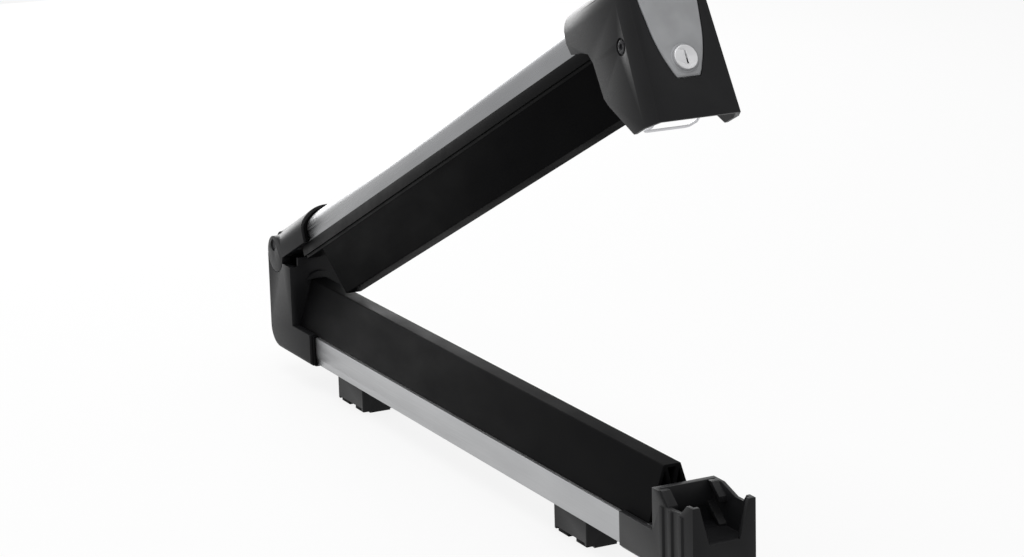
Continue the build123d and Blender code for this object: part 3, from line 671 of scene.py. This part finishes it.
# %% Lock core with a dished face
CORE_ROUND = 0.25
FACING_OUT = 0.97
WIDE_FACE = 100 * MM * MM
DISH_RIM = 0.6 * MM
DISH_DEPTH = 0.2 * MM
lock_core = soft_edged("lock_core", CORE_ROUND, reshape=draft_all)
pick_only(lock_core)
for face in lock_core.data.polygons:
    facing = Vector(face.normal).dot(along_arm)
    face.select = facing > FACING_OUT and face.area > WIDE_FACE
for edge in lock_core.data.edges:
    edge.select = False
for vertex in lock_core.data.vertices:
    vertex.select = False
for face in lock_core.data.polygons:
    if face.select:
        for index in face.vertices:
            lock_core.data.vertices[index].select = True
bpy.ops.object.mode_set(mode="EDIT")
bpy.ops.mesh.select_mode(type="FACE")
bpy.ops.mesh.inset(thickness=DISH_RIM, depth=-DISH_DEPTH)
bpy.ops.object.mode_set(mode="OBJECT")
smooth_by_angle(lock_core)
carry(lock_core, "lock_core")
print("lock core faces:", len(lock_core.data.polygons))

# %% [markdown]
# ## Floor, light and camera
#
# The photograph is a cut-out on white, lit softly from above, so the silver crown burns out and
# the sides fall to grey. A pale floor keeps the contact shadows. Floor and world are white where
# the camera or a reflection sees them, and the world gives the even part of the light. Strong
# lamps alone would whiten them too, but would wash out the black rubber.

# %% What looks straight at the white
def seen_share(tree):
    """One for a ray of the camera, of a reflection or through glass, and nothing for light."""
    rays = tree.nodes.new("ShaderNodeLightPath")
    seen = tree.nodes.new("ShaderNodeMath")
    seen.operation = "MAXIMUM"
    either = tree.nodes.new("ShaderNodeMath")
    either.operation = "MAXIMUM"
    tree.links.new(rays.outputs["Is Camera Ray"], seen.inputs[0])
    tree.links.new(rays.outputs["Is Transmission Ray"], seen.inputs[1])
    tree.links.new(seen.outputs[0], either.inputs[0])
    tree.links.new(rays.outputs["Is Glossy Ray"], either.inputs[1])
    return either.outputs[0]


# %% White floor that keeps a contact shadow
FLOOR_SIZE = 14.0
FLOOR_COLOUR = (0.93, 0.93, 0.93)
FLOOR_WHITE = 0.85
bpy.ops.object.select_all(action="DESELECT")
bpy.ops.mesh.primitive_plane_add(size=FLOOR_SIZE, location=(0.0, 0.0, 0.0))
floor = bpy.context.active_object
floor.name = "floor"
pale_floor, tree, shader = start_material("pale_floor", FLOOR_COLOUR, roughness=0.9, specular=0.1)
speckle = object_noise(tree, scale=20.0)
vary_roughness(tree, shader, speckle, low=0.86, high=0.94)
share = tree.nodes.new("ShaderNodeMath")
share.operation = "MULTIPLY"
share.inputs[1].default_value = FLOOR_WHITE
glow = tree.nodes.new("ShaderNodeEmission")
mix = tree.nodes.new("ShaderNodeMixShader")
tree.links.new(seen_share(tree), share.inputs[0])
tree.links.new(share.outputs[0], mix.inputs["Fac"])
tree.links.new(shader.outputs["BSDF"], mix.inputs[1])
tree.links.new(glow.outputs["Emission"], mix.inputs[2])
tree.links.new(mix.outputs["Shader"], tree.nodes["Material Output"].inputs["Surface"])
floor.data.materials.append(pale_floor)
print("white share of the floor:", FLOOR_WHITE)

# %% White surroundings
EVEN_LIGHT = 0.40
world = bpy.data.worlds.new("white_room")
bpy.context.scene.world = world
world.use_nodes = True
room = world.node_tree
sky = room.nodes["Background"]
sky.inputs["Color"].default_value = (1.0, 1.0, 1.0, 1.0)
brightness = room.nodes.new("ShaderNodeMapRange")
brightness.inputs["To Min"].default_value = EVEN_LIGHT
brightness.inputs["To Max"].default_value = 1.0
room.links.new(seen_share(room), brightness.inputs["Value"])
room.links.new(brightness.outputs["Result"], sky.inputs["Strength"])
print("even light of the room:", EVEN_LIGHT)

# %% [markdown]
# Three large square lamps stand for a photographer's soft boxes. One hangs overhead, one gives
# the front a little light, and one stands low behind the hinge, where the arm's silver mirrors
# it. Large lamps give the long soft gradients of the picture, and small ones would give spots.

# %% Soft lamps
def add_lamp(name, place, target, size, watts):
    data = bpy.data.lights.new(name, "AREA")
    data.shape = "SQUARE"
    data.size = size
    data.energy = watts
    lamp = bpy.data.objects.new(name, data)
    bpy.context.scene.collection.objects.link(lamp)
    lamp.location = place
    lamp.rotation_euler = (Vector(target) - Vector(place)).to_track_quat("-Z", "Y").to_euler()
    return lamp


OVERHEAD_AIM = (0.0, 0.0, 0.15)
FRONT_AIM = (0.0, 0.0, 0.2)
BACK_AIM = (0.0, 0.0, 0.25)
add_lamp("overhead_softbox", (0.1, -0.3, 2.2), OVERHEAD_AIM, size=1.8, watts=22.0)
add_lamp("front_softbox", (1.6, -2.6, 1.7), FRONT_AIM, size=1.6, watts=10.0)
add_lamp("back_panel", (-2.7, 0.2, 0.95), BACK_AIM, size=1.9, watts=44.0)
print("lamps:", len(bpy.data.lights))

# %% [markdown]
# The camera was found by matching measured points of the carrier to the photograph. It stands
# about three metres off the hinge, a little above it, with a long lens. Turn, rise and roll are
# kept apart, because each is one thing that a photographer sets.

# %% Camera
CAMERA_PLACE = (2.32323, -1.13489, 0.84779)
CAMERA_TURN = 63.283
CAMERA_RISE = 14.296
CAMERA_ROLL = -1.544
LENS = 104.66
SENSOR_WIDTH = 36.0
LENS_SHIFT = -0.0070
camera_data = bpy.data.cameras.new("camera")
camera_data.lens = LENS
camera_data.sensor_width = SENSOR_WIDTH
camera_data.shift_y = LENS_SHIFT
camera = bpy.data.objects.new("camera", camera_data)
bpy.context.scene.collection.objects.link(camera)
turned = Matrix.Rotation(radians(CAMERA_TURN), 4, "Z")
tipped = Matrix.Rotation(radians(90.0 - CAMERA_RISE), 4, "X")
rolled = Matrix.Rotation(radians(CAMERA_ROLL), 4, "Z")
camera.matrix_world = Matrix.Translation(CAMERA_PLACE) @ (turned @ tipped @ rolled)
bpy.context.scene.camera = camera
bpy.context.scene.view_settings.view_transform = "Standard"
camera_reach = (Vector(CAMERA_PLACE) - hinge_pin_place).length
print("metres from the camera to the hinge:", round(camera_reach, 2))
